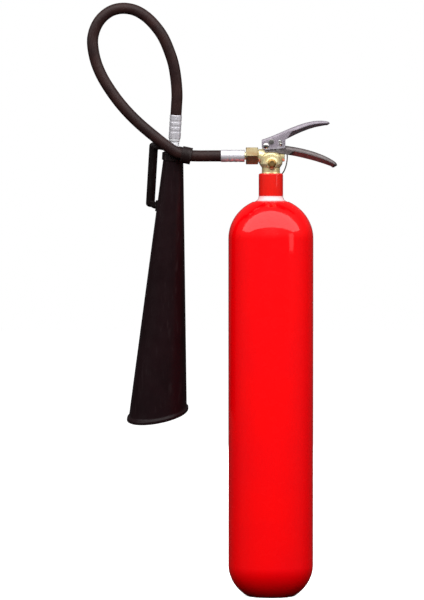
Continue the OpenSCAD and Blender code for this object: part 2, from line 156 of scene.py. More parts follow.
def through(points, parts=6):
    """A smooth curve through every point, as more points."""
    points = [Vector(p) for p in points]
    ends = [2 * points[0] - points[1]] + points + [2 * points[-1] - points[-2]]
    path = []
    for a, b, c, d in zip(ends, ends[1:], ends[2:], ends[3:]):
        for i in range(parts):
            t = i / parts
            path.append(0.5 * (2 * b + (c - a) * t + (2 * a - 5 * b + 4 * c - d) * t * t
                               + (3 * b - a - 3 * c + d) * t ** 3))
    return path + [points[-1]]


def smoothstep(low, high, value):
    t = min(max((value - low) / (high - low), 0.0), 1.0)
    return t * t * (3 - 2 * t)


# --------------------------------------
# Meshes
# --------------------------------------


def net(bm, rows, wrap_rows=False, wrap_columns=False, caps=False):
    """Faces between rows of points. The rows, or the columns, may close on themselves."""
    made = [[bm.verts.new(p) for p in row] for row in rows]
    across = len(made[0])
    for i in range(len(made) - (0 if wrap_rows else 1)):
        a, b = made[i], made[(i + 1) % len(made)]
        for j in range(across - (0 if wrap_columns else 1)):
            k = (j + 1) % across
            bm.faces.new((a[j], a[k], b[k], b[j]))
    if caps:
        bm.faces.new(made[0][::-1])
        bm.faces.new(made[-1])
    return made


def spun(bm, profile, sides=96, reach=None):
    """A solid of revolution about Z, from (radius, height) points. reach(radius, height,
    angle) gives the radius where it isn't round."""
    on_axis = abs(profile[0][0]) < 1e-9 and abs(profile[-1][0]) < 1e-9
    rows = []
    for i in range(sides):
        angle = 2 * math.pi * i / sides
        row = []
        for r, z in profile:
            far = reach(r, z, angle) if reach else r
            row.append((far * math.cos(angle), far * math.sin(angle), z))
        rows.append(row)
    net(bm, rows, wrap_rows=True, wrap_columns=not on_axis)


def swept(bm, path, radius, sides=24, closed=False, ref=(0, 1, 0), squash=1.0):
    """A tube along a path. radius is a number, or a function of the share of the way."""
    ref = Vector(ref)
    rows = []
    count = len(path)
    for i, place in enumerate(path):
        before = path[i - 1] if closed or i else path[i]
        after = path[(i + 1) % count] if closed or i < count - 1 else path[i]
        along = (Vector(after) - Vector(before)).normalized()
        side = along.cross(ref).normalized()
        up = side.cross(along)
        r = radius(i / (count - 1)) if callable(radius) else radius
        rows.append([Vector(place) + r * (math.cos(a) * side + squash * math.sin(a) * up)
                     for a in (2 * math.pi * k / sides for k in range(sides))])
    net(bm, rows, wrap_rows=closed, wrap_columns=True, caps=not closed)


def to_object(name, bm, place=None):
    """A mesh object in the frame, with its doubled points merged and its faces outwards."""
    bmesh.ops.remove_doubles(bm, verts=bm.verts, dist=1e-3 if place is not None else 1e-6)
    if place is not None:
        bmesh.ops.transform(bm, matrix=place, verts=bm.verts)
    bmesh.ops.recalc_face_normals(bm, faces=bm.faces)
    mesh = bpy.data.meshes.new(name)
    bm.to_mesh(mesh)
    bm.free()
    obj = bpy.data.objects.new(name, mesh)
    bpy.context.scene.collection.objects.link(obj)
    return obj


def turned(name, profile, sides, place=None, reach=None):
    """A solid of revolution, as an object in the frame."""
    bm = bmesh.new()
    spun(bm, profile, sides, reach)
    return to_object(name, bm, place)


def drill(radius, place, near=-20, far=20, sides=48):
    """A round rod along a place's Z, to be cut away."""
    return turned("drill", [(0, near), (radius, near), (radius, far), (0, far)], sides, place)


def applied(obj):
    """Makes an object's modifiers part of its mesh."""
    bpy.context.view_layer.update()
    graph = bpy.context.evaluated_depsgraph_get()
    mesh = bpy.data.meshes.new_from_object(obj.evaluated_get(graph), depsgraph=graph)
    obj.modifiers.clear()
    obj.data = mesh
    return obj


def combined(obj, other, operation="DIFFERENCE"):
    """obj with another object cut away from it, or added to it."""
    modifier = obj.modifiers.new("combined", "BOOLEAN")
    modifier.operation = operation
    modifier.solver = "EXACT"
    modifier.use_self = True
    modifier.object = other
    applied(obj)
    bpy.data.objects.remove(other)
    return obj


def melted(obj, cell, passes, strength=0.5):
    """obj as one skin of even cells, in millimetres, with its corners softened as a casting's
    are."""
    remesh = obj.modifiers.new("skin", "REMESH")
    remesh.mode = "VOXEL"
    remesh.voxel_size = cell * MM
    soften = obj.modifiers.new("soften", "SMOOTH")
    soften.factor = strength
    soften.iterations = passes
    return applied(obj)


def cad_copy(name, node):
    """A new object with a CAD node's shape, to be worked on."""
    bm = bmesh.new()
    bm.from_mesh(frame["nodes"][node].data)
    return to_object(name, bm)


def joined(obj, other):
    """obj with another object's mesh put into its own."""
    bm = bmesh.new()
    bm.from_mesh(obj.data)
    bm.from_mesh(other.data)
    bm.to_mesh(obj.data)
    bm.free()
    bpy.data.objects.remove(other)
    return obj


def as_piece(obj, node, sharp=35):
    """Puts an object in a CAD node's place: on its body, with its slot and its finish."""
    obj.data.materials.clear()
    obj.data.materials.append(material_for(SLOT_OF[node]))
    obj.data.shade_smooth()
    obj.data.set_sharp_from_angle(angle=math.radians(sharp))
    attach(obj, BODY_OF[node])
    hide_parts(node)
    return obj


# --------------------------------------
# Finishes. Object coordinates are metres in the frame, so scales are per metre.
# --------------------------------------


def add_node(tree, kind, inputs=None, **settings):
    """A new node. An input is a value, or the socket that it is linked from."""
    node = tree.nodes.new(kind)
    for name, value in settings.items():
        setattr(node, name, value)
    for name, value in (inputs or {}).items():
        if isinstance(value, bpy.types.NodeSocket):
            tree.links.new(value, node.inputs[name])
        else:
            node.inputs[name].default_value = value
    return node


class Finish:
    """A material being made, with short ways to add the nodes that it needs."""

    def __init__(self, name, colour, **sockets):
        self.material = bpy.data.materials.new(name)
        self.material.use_nodes = True
        self.tree = self.material.node_tree
        self.shader = self.tree.nodes["Principled BSDF"]
        self.material.diffuse_color = (*colour, 1)
        for socket, value in sockets.items():
            label = socket.replace("_", " ").title().replace("Ior", "IOR")
            self.shader.inputs[label].default_value = value
        self.place = self.add("ShaderNodeTexCoord").outputs["Object"]
        self.normal = None

    def add(self, kind, inputs=None, **settings):
        return add_node(self.tree, kind, inputs, **settings)

    def noise(self, scale, detail=3.0, stretch=(1, 1, 1), seed=0.0):
        place = self.add("ShaderNodeMapping", {"Vector": self.place, "Scale": stretch,
                                               "Location": (seed, seed, seed)})
        made = self.add("ShaderNodeTexNoise", {"Vector": place.outputs["Vector"],
                                               "Scale": scale, "Detail": detail})
        return made.outputs["Fac"]

    def step(self, value, low, high, start=0.0, end=1.0):
        """Turns low..high into start..end, and stays there on both sides."""
        made = self.add("ShaderNodeMapRange", {"Value": value, "From Min": low, "From Max": high,
                                               "To Min": start, "To Max": end})
        return made.outputs["Result"]

    def patches(self, scale, detail, low, high, most=1.0, seed=0.0, stretch=(1, 1, 1)):
        """0 to most, where a noise climbs from low to high."""
        return self.step(self.noise(scale, detail, stretch, seed), low, high, 0.0, most)

    def gloss(self, scale, detail, smooth, rough, seed, stretch=(1, 1, 1)):
        """Roughness that wanders between two values."""
        return self.step(self.noise(scale, detail, stretch, seed), 0.3, 0.7, smooth, rough)

    def maths(self, operation, a, b=0.0):
        made = self.add("ShaderNodeMath", {0: a, 1: b}, operation=operation)
        return made.outputs[0]

    def waves(self, value, rate):
        return self.maths("SINE", self.maths("MULTIPLY", value, 2 * math.pi * rate))

    def mixed(self, share, a, b):
        inputs = {"Factor": share, 6: self.rgb(a), 7: self.rgb(b)}
        return self.add("ShaderNodeMix", inputs, data_type="RGBA").outputs[2]

    def rgb(self, colour):
        return colour if isinstance(colour, bpy.types.NodeSocket) else (*colour, 1)

    def axis(self, name):
        return self.add("ShaderNodeSeparateXYZ", {"Vector": self.place}).outputs[name]

    def edges(self, low=0.52, high=0.6):
        """1 on sharp convex edges, where a finish rubs away."""
        geometry = self.add("ShaderNodeNewGeometry")
        return self.step(geometry.outputs["Pointiness"], low, high)

    def bump(self, height, depth):
        """Relief of this depth, in millimetres."""
        inputs = {"Height": height, "Strength": 1.0, "Distance": depth * MM}
        if self.normal:
            inputs["Normal"] = self.normal
        self.normal = self.add("ShaderNodeBump", inputs).outputs["Normal"]

    def done(self, colour, rough):
        self.tree.links.new(colour, self.shader.inputs["Base Color"])
        self.tree.links.new(rough, self.shader.inputs["Roughness"])
        if self.normal:
            self.tree.links.new(self.normal, self.shader.inputs["Normal"])
        return self.material


NECK_HIGHLIGHT_BAND = 0.0088  # height of the painted highlight band under the collar, in metres


def enamel(name):
    """Gloss red: orange peel, faint waves, chips at the foot, a duller collar and a painted highlight band on the
    neck just under the collar.
    """
    made = Finish(name, (0.8, 0, 0), coat_weight=0.7, coat_roughness=0.03, specular_ior_level=0.04)
    foot = made.step(made.axis("Z"), 0.001, 0.009, 1.0, 0.0)
    chips = made.step(made.maths("ADD", made.noise(420, 5), made.maths("MULTIPLY", foot, 0.2)),
                      0.66, 0.7)
    cloud = made.patches(9, 2, 0.35, 0.65)
    red = made.mixed(cloud, (0.80, 0.0, 0.001), (0.75, 0.0, 0.002))
    dust = made.patches(1500, 2, 0.7, 0.82, 0.35, seed=3.0)
    red = made.mixed(dust, red, (0.66, 0.006, 0.008))
    collar_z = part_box("neck_collar")[0].z
    on_collar = made.step(made.axis("Z"), collar_z - 0.0002, collar_z)
    red = made.mixed(on_collar, red, (0.56, 0.010, 0.006))
    # Pale pink band on the neck's fillet just under the collar: a painted highlight, not a paint colour
    neck = made.step(made.axis("Z"), collar_z - NECK_HIGHLIGHT_BAND, collar_z - NECK_HIGHLIGHT_BAND + 0.0015)
    under = made.step(made.axis("Z"), collar_z - 0.0008, collar_z - 0.0002, 1.0, 0.0)
    red = made.mixed(made.maths("MULTIPLY", neck, under), red, (0.70, 0.46, 0.47))
    colour = made.mixed(made.maths("MULTIPLY", chips, foot), red, (0.05, 0.045, 0.045))
    made.bump(made.noise(16, 1), 0.03)
    made.bump(made.noise(330, 2), 0.004)
    return made.done(colour, made.gloss(60, 4, 0.2, 0.32, seed=9.0))


def metal(name, light, dark, rough, grain=700, depth=0.012, stretch=(1, 1, 1), bright=None,
          metallic=1.0):
    """Bare or plated metal: clouded colour, uneven gloss, fine grain and bright edges."""
    made = Finish(name, light, metallic=metallic)
    cloud = made.patches(90, 4, 0.35, 0.68)
    colour = made.mixed(cloud, light, dark)
    spots = made.patches(900, 3, 0.62, 0.75, 0.5, seed=5.0)
    colour = made.mixed(spots, colour, dark)
    colour = made.mixed(made.edges(), colour, bright or light)
    made.bump(made.noise(grain, 3, stretch), depth)
    return made.done(colour, made.gloss(grain * 0.5, 4, rough * 0.8, rough * 1.3, 7.0, stretch))


def forged_brass(name):
    """Tumbled brass forging: pale and yellow, with a soft pitted skin."""
    made = Finish(name, (0.86, 0.7, 0.36), metallic=0.65)
    stain = made.patches(70, 5, 0.42, 0.7)
    colour = made.mixed(stain, (0.93, 0.83, 0.50), (0.74, 0.58, 0.25))
    pits = made.patches(1300, 2, 0.64, 0.74, seed=2.0)
    colour = made.mixed(pits, colour, (0.5, 0.34, 0.13))
    colour = made.mixed(made.edges(), colour, (0.93, 0.82, 0.52))
    made.bump(made.noise(260, 3), 0.03)
    made.bump(made.maths("SUBTRACT", 1.0, pits), 0.01)
    return made.done(colour, made.gloss(180, 3, 0.24, 0.4, seed=4.0))


def lever_finish(name, face, shade, worn, rough, metallic):
    """Satin grey coat on pressed steel: fine speckle, and worn edges."""
    made = Finish(name, face, metallic=metallic, coat_weight=0.25, coat_roughness=0.25)
    cloud = made.patches(60, 4, 0.35, 0.7)
    colour = made.mixed(cloud, face, shade)
    speckle = made.patches(1700, 2, 0.6, 0.72, 0.5, seed=6.0)
    colour = made.mixed(speckle, colour, shade)
    rub = made.maths("MULTIPLY", made.edges(0.53, 0.62), made.patches(300, 4, 0.4, 0.6))
    colour = made.mixed(rub, colour, worn)
    made.bump(made.noise(900, 3), 0.008)
    made.bump(made.noise(60, 2), 0.03)
    return made.done(colour, made.gloss(140, 4, rough * 0.8, rough * 1.25, seed=8.0))


def plastic(name, colour, lift, rough, grain=800, depth=0.04):
    """Moulded plastic or rubber: fine spark-eroded grain, scuffs and greyed edges."""
    made = Finish(name, colour, specular_ior_level=0.15)
    cloud = made.patches(25, 4, 0.35, 0.7)
    base = made.mixed(cloud, colour, tuple(c * 0.7 for c in colour))
    scuffs = made.patches(240, 5, 0.6, 0.72, 0.4, 1.0, (1, 1, 0.12))
    base = made.mixed(scuffs, base, lift)
    base = made.mixed(made.maths("MULTIPLY", made.edges(), 0.5), base, lift)
    made.bump(made.noise(grain, 2), depth)
    made.bump(made.noise(30, 1), 0.15)
    return made.done(base, made.gloss(70, 4, rough * 0.85, rough * 1.2, seed=2.0))


HOSE_UV = "along_the_hose"
WRAP_PITCH = 0.021  # of the slanting print, in metres along the hose
THREAD_PITCH = 0.0011  # of the print's cloth, in metres along the hose
THREADS_ROUND = 52


def hose_rubber(name):
    """Hose cover: the slanting print of the cloth that it was cured in, and scuffs."""
    made = Finish(name, (0.03, 0.016, 0.014), specular_ior_level=0.22)
    along = made.add("ShaderNodeUVMap", uv_map=HOSE_UV).outputs["UV"]
    parts = made.add("ShaderNodeSeparateXYZ", {"Vector": along})
    slant = made.maths("ADD", made.maths("MULTIPLY", parts.outputs["X"], 1 / WRAP_PITCH),
                       parts.outputs["Y"])
    off_edge = made.maths("ABSOLUTE", made.maths("SUBTRACT", made.maths("FRACT", slant), 0.5))
    wrap = made.step(off_edge, 0.42, 0.5, 1.0, 0.0)
    weave = made.waves(parts.outputs["X"], 1 / THREAD_PITCH)
    cross = made.waves(parts.outputs["Y"], THREADS_ROUND)
    cloth = made.maths("MULTIPLY", weave, cross)
    cloud = made.patches(40, 4, 0.35, 0.7)
    colour = made.mixed(cloud, (0.022, 0.009, 0.008), (0.013, 0.006, 0.006))
    scuffs = made.patches(500, 5, 0.62, 0.74, 0.45, seed=4.0)
    colour = made.mixed(scuffs, colour, (0.05, 0.034, 0.032))
    made.bump(wrap, 0.10)
    made.bump(cloth, 0.025)
    made.bump(made.noise(420, 3), 0.03)
    return made.done(colour, made.gloss(120, 3, 0.38, 0.52, seed=3.0))


BRUSHED = (1, 1, 0.08)
FINISHES = {
    "body_paint": enamel,
    "valve_brass": forged_brass,
    "relief_brass": lambda n: metal(n, (0.68, 0.42, 0.14), (0.40, 0.20, 0.06), 0.34, 500, 0.03,
                                    bright=(0.85, 0.62, 0.3)),
    "union_plate": lambda n: metal(n, (0.24, 0.20, 0.11), (0.20, 0.13, 0.06), 0.3, 500, 0.02,
                                   bright=(0.46, 0.40, 0.26), metallic=0.8),
    "copper": lambda n: metal(n, (0.80, 0.36, 0.2), (0.5, 0.2, 0.12), 0.3),
    "aluminium_tube": lambda n: metal(n, (0.8, 0.8, 0.82), (0.6, 0.6, 0.62), 0.35, 600, 0.02,
                                      BRUSHED),
    "spring_steel": lambda n: metal(n, (0.45, 0.45, 0.47), (0.25, 0.25, 0.27), 0.3),
    "bright_steel": lambda n: metal(n, (0.78, 0.76, 0.73), (0.55, 0.53, 0.5), 0.22, 900, 0.01,
                                    bright=(0.9, 0.88, 0.85)),
    "ring_wire": lambda n: metal(n, (0.62, 0.58, 0.6), (0.42, 0.38, 0.4), 0.25, 900, 0.01),
    "ferrule_plate": lambda n: metal(n, (0.74, 0.72, 0.76), (0.66, 0.64, 0.69), 0.34, 700, 0.005,
                                     bright=(0.78, 0.77, 0.80), metallic=0.6),
    "nipple_plate": lambda n: metal(n, (0.84, 0.84, 0.86), (0.74, 0.74, 0.77), 0.4, 700, 0.005,
                                    metallic=0.5),
    "handle_paint": lambda n: lever_finish(n, (0.12, 0.10, 0.10), (0.07, 0.055, 0.055),
                                           (0.36, 0.34, 0.32), 0.36, 0.3),
    "lever_paint": lambda n: lever_finish(n, (0.235, 0.205, 0.24), (0.17, 0.145, 0.17),
                                          (0.45, 0.43, 0.45), 0.42, 0.3),
    "seal_rubber": lambda n: plastic(n, (0.02, 0.02, 0.02), (0.06, 0.06, 0.06), 0.6),
    "hose_rubber": hose_rubber,
    "clip_rubber": lambda n: plastic(n, (0.011, 0.006, 0.006), (0.04, 0.03, 0.03), 0.42, 600, 0.02),
    "ptfe": lambda n: plastic(n, (0.85, 0.84, 0.8), (0.95, 0.95, 0.95), 0.4, 300, 0.02),
    "horn_plastic": lambda n: plastic(n, (0.009, 0.003, 0.004), (0.024, 0.015, 0.016), 0.36,
                                      900, 0.01),
    "grip_plastic": lambda n: plastic(n, (0.006, 0.003, 0.003), (0.022, 0.017, 0.017), 0.4,
                                      700, 0.02),
}
MADE = {}


def material_for(slot):
    if slot not in MADE:
        MADE[slot] = FINISHES[slot](slot)
    return MADE[slot]


def finish_cad_nodes():
    """Gives every CAD node its slot's finish, whether or not a piece replaces it."""
    for node, obj in frame["nodes"].items():
        obj.data.materials.clear()
        obj.data.materials.append(material_for(SLOT_OF[node]))


finish_cad_nodes()

# --------------------------------------
# The hose: a free cord from the valve's ferrule to the horn's ferrule. Its points
# are the CAD's own, in millimetres.
# --------------------------------------

HOSE_R = 9
HOSE_SIDES = 36
HOSE_ROUTE = [
    (-80, 0, 705), (-100, 0, 705), (-119, -1, 705), (-135, -2, 706), (-151, -3, 711),
    (-166, -4, 720.5), (-181, -4, 732), (-197, -3, 745), (-213, -2, 759), (-229, -1, 775),
    (-244, 0, 792.5), (-258, 1, 812), (-270, 2, 832), (-279, 3, 853), (-284, 3, 874),
    (-285, 4, 893), (-280, 4, 911), (-270, 4, 926), (-255, 5, 937), (-237, 5, 941),
    (-218, 5, 938), (-201, 5, 928.5), (-186, 5, 914), (-173, 5, 896), (-163.5, 6.5, 875),
    (-156, 8.5, 852), (-152, 11, 828), (-150.3, 13.5, 804), (-151.1, 15.5, 785), (-152, 17, 771),
]


def unrolled(obj, path, sides):
    """Gives a tube a map of metres along its path by share of the way round it."""
    layer = obj.data.uv_layers.new(name=HOSE_UV)
    gone = [0.0]
    for a, b in zip(path, path[1:]):
        gone.append(gone[-1] + (b - a).length)
    for face in obj.data.polygons:
        shares = [(i % sides) / sides for i in face.vertices]
        seam = max(shares) - min(shares) > 0.5
        for loop, share in zip(face.loop_indices, shares):
            ring = obj.data.loops[loop].vertex_index // sides
            layer.data[loop].uv = (gone[ring], share + (1 if seam and share < 0.5 else 0))


def make_hose():
    path = [p * MM for p in through([Vector(p) for p in HOSE_ROUTE], 8)]
    bm = bmesh.new()
    swept(bm, path, HOSE_R * MM, HOSE_SIDES)
    hose = to_object("hose_cover", bm)
    unrolled(hose, path, HOSE_SIDES)
    as_piece(hose, "hose", 50)


make_hose()

# --------------------------------------
# Cylinder and neck, in millimetres from the floor
# --------------------------------------

WALL = 4.5
NECK_R = 16
FILLET = 9.5


def make_cylinder():
    low, high = (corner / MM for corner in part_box("cylinder_shell"))
    collar_low, collar_high = (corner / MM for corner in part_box("neck_collar"))
    body_r = high.x
    ring_r, flat, punt = 38, 6, 9
    base_dome, top_dome = 60, 65
    base_z = base_dome * math.sqrt(1 - (ring_r / body_r) ** 2)
    end_r = collar_high.x + FILLET
    dome_end = math.degrees(math.acos(end_r / body_r))
    collar_z = round(collar_low.z, 2)
    top_z = collar_z - FILLET - top_dome * math.sin(math.radians(dome_end))
    base_angle = math.degrees(math.acos(ring_r / body_r))
    inner = body_r - WALL
    floor_r = ring_r - flat + 4
    floor_angle = math.degrees(math.acos(floor_r / inner))
    bore = 12.7
    outside = (arc(0, 0, ring_r - flat, punt, 90, 4, 14)
               + eased([(ring_r - flat, 0.6), (ring_r - flat + 0.8, 0), (ring_r - 1.2, 0),
                        (ring_r + 0.4, 0.25)], 0.5)
               + arc(0, base_z, body_r, base_dome, 2 - base_angle, 0, 40)
               + arc(0, top_z, body_r, top_dome, 0, dome_end, 48)
               + arc(end_r, collar_z, FILLET, FILLET, 268, 181, 12)
               + eased([(NECK_R, collar_z), (NECK_R, high.z), (bore, high.z)], 0.5)[:-1])
    inside = (arc(0, top_z, inner, top_dome - WALL, math.degrees(math.acos(bore / inner)), 0, 32)
              + arc(0, base_z, inner, base_dome - WALL, 0, -floor_angle, 24))
    floor_z = inside[-1][1]
    inside += arc(0, floor_z, floor_r, punt + WALL - floor_z, 0, 90, 8)
    shell = turned("cylinder_body", outside + [(bore, high.z)] + inside, 160, SCALE)
    as_piece(shell, "cylinder_shell", 40)


def make_collar():
    low, high = (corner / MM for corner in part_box("neck_collar"))
    r = high.x
    bore = NECK_R + 0.1
    shoulder = 2.6
    outline = eased([(bore, low.z + 4), (bore, low.z), (r, low.z), (r, high.z - shoulder)], 0.7, 4)
    outline += arc(r - shoulder, high.z - shoulder, shoulder, shoulder, 6, 84, 8)
    outline += eased([(r - 2.8, high.z), (bore, high.z), (bore, high.z - 4)], 0.8, 4)
    as_piece(turned("neck_ring", outline, 128, SCALE), "neck_collar", 40)


make_cylinder()
make_collar()

# --------------------------------------
# Valve
# --------------------------------------

FORGING_SKIN = {"cell": 0.5, "passes": 9}
RELIEF = crossing(1.5, 15.5)


def make_forging():
    forging = melted(cad_copy("valve_forging", "valve_body"), **FORGING_SKIN)
    as_piece(forging, "valve_body", 60)


def hexagon(across, angle, turn=0.0):
    """Radius of a hexagon with slightly rounded corners. A flat faces the turn angle."""
    power = 60
    total = sum(max(0.0, math.cos(angle - turn - k * math.pi / 3)) ** power for k in range(6))
    return across / 2 / total ** (1 / power)


def hex_levels(low, high, reach):
    """Heights up a hexagon, close together where its chamfers run."""
    steps = [reach * (i / 7) ** 1.4 for i in range(8)]
    return [low + s for s in steps] + [high - s for s in reversed(steps)]


def hex_reach(across, low, high, turn, chamfer_low=True, chamfer_high=True):
    """For spun(): profile points beyond the flats follow a chamfered hexagon."""
    start = across / 2 * 0.955
    slope = 1 / math.tan(math.radians(30))

    def reach(r, z, angle):
        if r < across * 0.5:
            return r
        far = hexagon(across, angle, turn)
        if chamfer_low:
            far = min(far, start + (z - low) * slope)
        if chamfer_high:
            far = min(far, start + (high - z) * slope)
        return far
    return reach


def make_union_nut():
    low, high = 20.5, 40
    across = 27
    faces = [(across, z) for z in hex_levels(low, high, 2.4)]
    profile = ([(8.55, 36.6), (8.55, 21.3), (9.3, low)] + faces
               + [(6.9, high), (6.05, 39.4), (6.05, 36.6)])
    nut = turned("union_hex", profile, 144, OUTLET, hex_reach(across, low, high, 0.0))
    as_piece(nut, "union_nut", 32)


def make_plug():
    low, high = 21, 26
    across = 13
    faces = [(across, z) for z in hex_levels(low + 0.05, high - 0.6, 1.3)]
    profile = ([(0, 24), (2, 23.6), (2, 15.8), (5.6, 15.8), (6, 16.4), (6, low)] + faces
               + [(5.2, high - 0.5), (4.6, high), (0, high)])
    reach = hex_reach(across, low, high - 0.55, math.pi / 6, chamfer_low=False)
    plug = turned("relief_hex", profile, 96, RELIEF, reach)
    vent = RELIEF @ Matrix.Translation((0, 0, 23.4)) @ Matrix.Rotation(math.pi / 2, 4, "Y")
    combined(plug, drill(1, vent, -9, 9, 24))
    as_piece(plug, "relief_plug", 32)


def make_relief_washer():
    bore, low, high = 2.2, 14.7, 15.7
    outline = [(bore, 15.2), (bore, low), (5.9, low), (5.9, high), (bore, high), (bore, 15.2)]
    as_piece(turned("relief_seal", eased(outline, 0.3), 64, RELIEF), "relief_washer", 40)


make_forging()
make_union_nut()
make_plug()
make_relief_washer()

# --------------------------------------
# Ferrules and the horn's nipple
# --------------------------------------

FERRULE_R = 9.7
FERRULE_LENGTH = 38
CRIMP_DEPTH = 0.3
THREAD_R = 8


def crimped(r, z, angle, start):
    """Sleeve squeezed by eight jaws in three bands, which leave a slight octagon."""
    if r < FERRULE_R - 0.3:
        return r
    for i in (1, 2, 3):
        middle = start + 8 * i + 2
        band = 1 - smoothstep(1.3, 2.3, abs(z - middle))
        jaw = 0.8 + 0.2 * abs(math.cos(4 * angle))
        r -= CRIMP_DEPTH * band * jaw
    return r


def make_ferrule(name, node, axis, start):
    end = start + FERRULE_LENGTH
    steps = 90
    wall_long = FERRULE_LENGTH - 1.8
    walls = [(FERRULE_R, start + 0.9 + wall_long * i / steps) for i in range(steps + 1)]
    profile = (eased([(6.15, start + 2), (6.15, start), (FERRULE_R - 0.9, start)], 0.3)
               + arc(FERRULE_R - 0.9, start + 0.9, 0.9, 0.9, -80, -10, 5) + walls
               + arc(FERRULE_R - 0.7, end - 0.7, 0.7, 0.7, 10, 80, 5)
               + eased([(FERRULE_R - 0.7, end), (6.15, end), (6.15, end - 2)], 0.3))
    sleeve = turned(name, profile, 96, axis, lambda r, z, a: crimped(r, z, a, start))
    as_piece(sleeve, node, 40)


def threaded(r, z, angle, low, high, pitch=1.4, depth=0.55):
    """Right-handed thread cut into the part of a rod between two heights."""
    if not low <= z <= high or r < THREAD_R - 0.1:
        return r
    fade = smoothstep(low, low + pitch, z) * (1 - smoothstep(high - pitch, high, z))
    turn = (z / pitch - angle / (2 * math.pi)) % 1
    return r - depth * fade * (1 - abs(2 * turn - 1))


def make_horn_nipple():
    collar, flange_end, thread_end = 38.1, 42, 71
    steps = 180
    thread_from, thread_long = flange_end + 0.2, thread_end - flange_end - 0.4
    thread = [(THREAD_R, thread_from + thread_long * i / steps) for i in range(steps + 1)]
    profile = (eased([(3.5, 20), (3.5, 0), (6, 0), (6, collar), (9, collar), (9, flange_end),
                      (THREAD_R, flange_end + 0.1)], 0.35) + thread
               + eased([(7.8, thread_end), (3.5, thread_end), (3.5, 20)], 0.4))
    stub = turned("horn_stub", profile, 64, HORN,
                  lambda r, z, a: threaded(r, z, a, flange_end + 0.5, thread_end))
    as_piece(stub, "horn_nipple", 32)


make_ferrule("crimp_valve_end", "valve_ferrule", OUTLET, 42)
make_ferrule("crimp_horn_end", "horn_ferrule", HORN, 0)
make_horn_nipple()

# --------------------------------------
# Horn, with its clip and grip
# --------------------------------------

HORN_REACH = 488
CONE_FROM = 74
HORN_NECK_R = 16
CONE_SLOPE = (46.5 - HORN_NECK_R) / (HORN_REACH - CONE_FROM)
HORN_WALL = 3
RIM_H = 6
# The rim's section: how far out from the horn's side, and how far back from the mouth
RIM = [(0.1, RIM_H + 2.4), (0.5, RIM_H + 1.1), (1.4, RIM_H + 0.3), (2.3, RIM_H - 0.2),
       (2.85, RIM_H - 1.0), (3.0, RIM_H - 2.2), (3.0, 2.0), (2.8, 0.9), (2.2, 0.25),
       (1.4, 0.0), (-1.6, 0.0), (-2.4, 0.2), (-2.9, 0.9), (-3.0, 2.0)]
MOUTH_SLANT = math.radians(13.3)
MOUTH_DIP = math.radians(8)
MOUTH_NORMAL = (Matrix.Rotation(-MOUTH_SLANT, 3, "Y") @ Matrix.Rotation(-MOUTH_DIP, 3, "X")
                @ Vector((0, 0, 1)))
BOSS_R = 13
BOSS_FROM = 51
SHOULDER = 60
CAVITY_FROM = 66
SEAM = math.radians(1.2)
GRIP_FOOT = 149
SCREW_SIDE = 8.5
SCREW_SEAT = 23
GRIP_SKIN = {"cell": 0.6, "passes": 7}
CLIP_SKIN = {"cell": 0.45, "passes": 7}


def at_screws(name, profile, sides, reach=None):
    """The same spun solid at both of the screws that hold the grip's foot."""
    places = [GRIP @ Matrix.Translation((0, side * SCREW_SIDE, GRIP_FOOT))
              @ Matrix.Rotation(math.pi / 2, 4, "Y") for side in (-1, 1)]
    first, second = (turned(name, profile, sides, place, reach) for place in places)
    return joined(first, second)


def cone_r(s, out=0.0):
    return HORN_NECK_R + out + max(0.0, s - CONE_FROM) * CONE_SLOPE


def mouth_s(angle, out, back):
    """Distance down the horn where its side, moved out, meets the slanted mouth's plane
    moved back from the mouth."""
    sideways = MOUTH_NORMAL.x * math.cos(angle) + MOUTH_NORMAL.y * math.sin(angle)
    start = HORN_NECK_R + out - CONE_FROM * CONE_SLOPE
    return ((MOUTH_NORMAL.z * HORN_REACH - back - sideways * start)
            / (MOUTH_NORMAL.z + sideways * CONE_SLOPE))


def horn_angles():
    """Even steps round the horn, with more where the mould's two halves met."""
    even = [2 * math.pi * i / 128 for i in range(128)]
    seams = [side + turn * SEAM for side in (0, math.pi) for turn in (-1, 1)]
    return sorted(set(even + [a % (2 * math.pi) for a in seams]))


def horn_row(angle):
    """The horn's cut section at one angle round it, as a closed line of points."""
    seam = 0.35 if abs(math.sin(angle)) < 1e-6 else 0.0
    side = [(BOSS_R, SHOULDER - 0.4), (BOSS_R + 0.5, SHOULDER), (HORN_NECK_R - 1, SHOULDER),
            (HORN_NECK_R - 0.2, SHOULDER + 0.3), (HORN_NECK_R + seam, SHOULDER + 1.2)]
    top = [(8.1, CAVITY_FROM), (8.1, BOSS_FROM), (BOSS_R, BOSS_FROM), (BOSS_R, SHOULDER - 1)]
    top = eased(top, 0.8, 4)
    rim_from = mouth_s(angle, 0, RIM_H)
    down = [(cone_r(s) + seam, s) for s in
            [SHOULDER + 4, CONE_FROM - 3, CONE_FROM, CONE_FROM + 3]
            + [CONE_FROM + 8 + (rim_from - 4 - CONE_FROM - 8) * i / 40 for i in range(41)]]
    rim = []
    for out, back in RIM:
        s = mouth_s(angle, out, back)
        rim.append((cone_r(s, out), s))
    last = rim[-1][1]
    inside = [(cone_r(s) - HORN_WALL, s) for s in
              [last - 3 - (last - 3 - CONE_FROM) * i / 20 for i in range(21)]]
    inside += [(HORN_NECK_R - HORN_WALL, CONE_FROM - 3), (HORN_NECK_R - HORN_WALL, CAVITY_FROM + 1),
               (HORN_NECK_R - HORN_WALL - 1, CAVITY_FROM)]
    section = top[:-1] + side + down + rim + inside
    return [(r * math.cos(angle), r * math.sin(angle), s) for r, s in section]


def make_horn():
    bm = bmesh.new()
    net(bm, [horn_row(angle) for angle in horn_angles()], wrap_rows=True, wrap_columns=True)
    horn = to_object("horn_shell", bm, HORN)
    combined(horn, at_screws("drills", [(0, 10), (2, 10), (2, 30), (0, 30)], 24))
    as_piece(horn, "horn", 38)


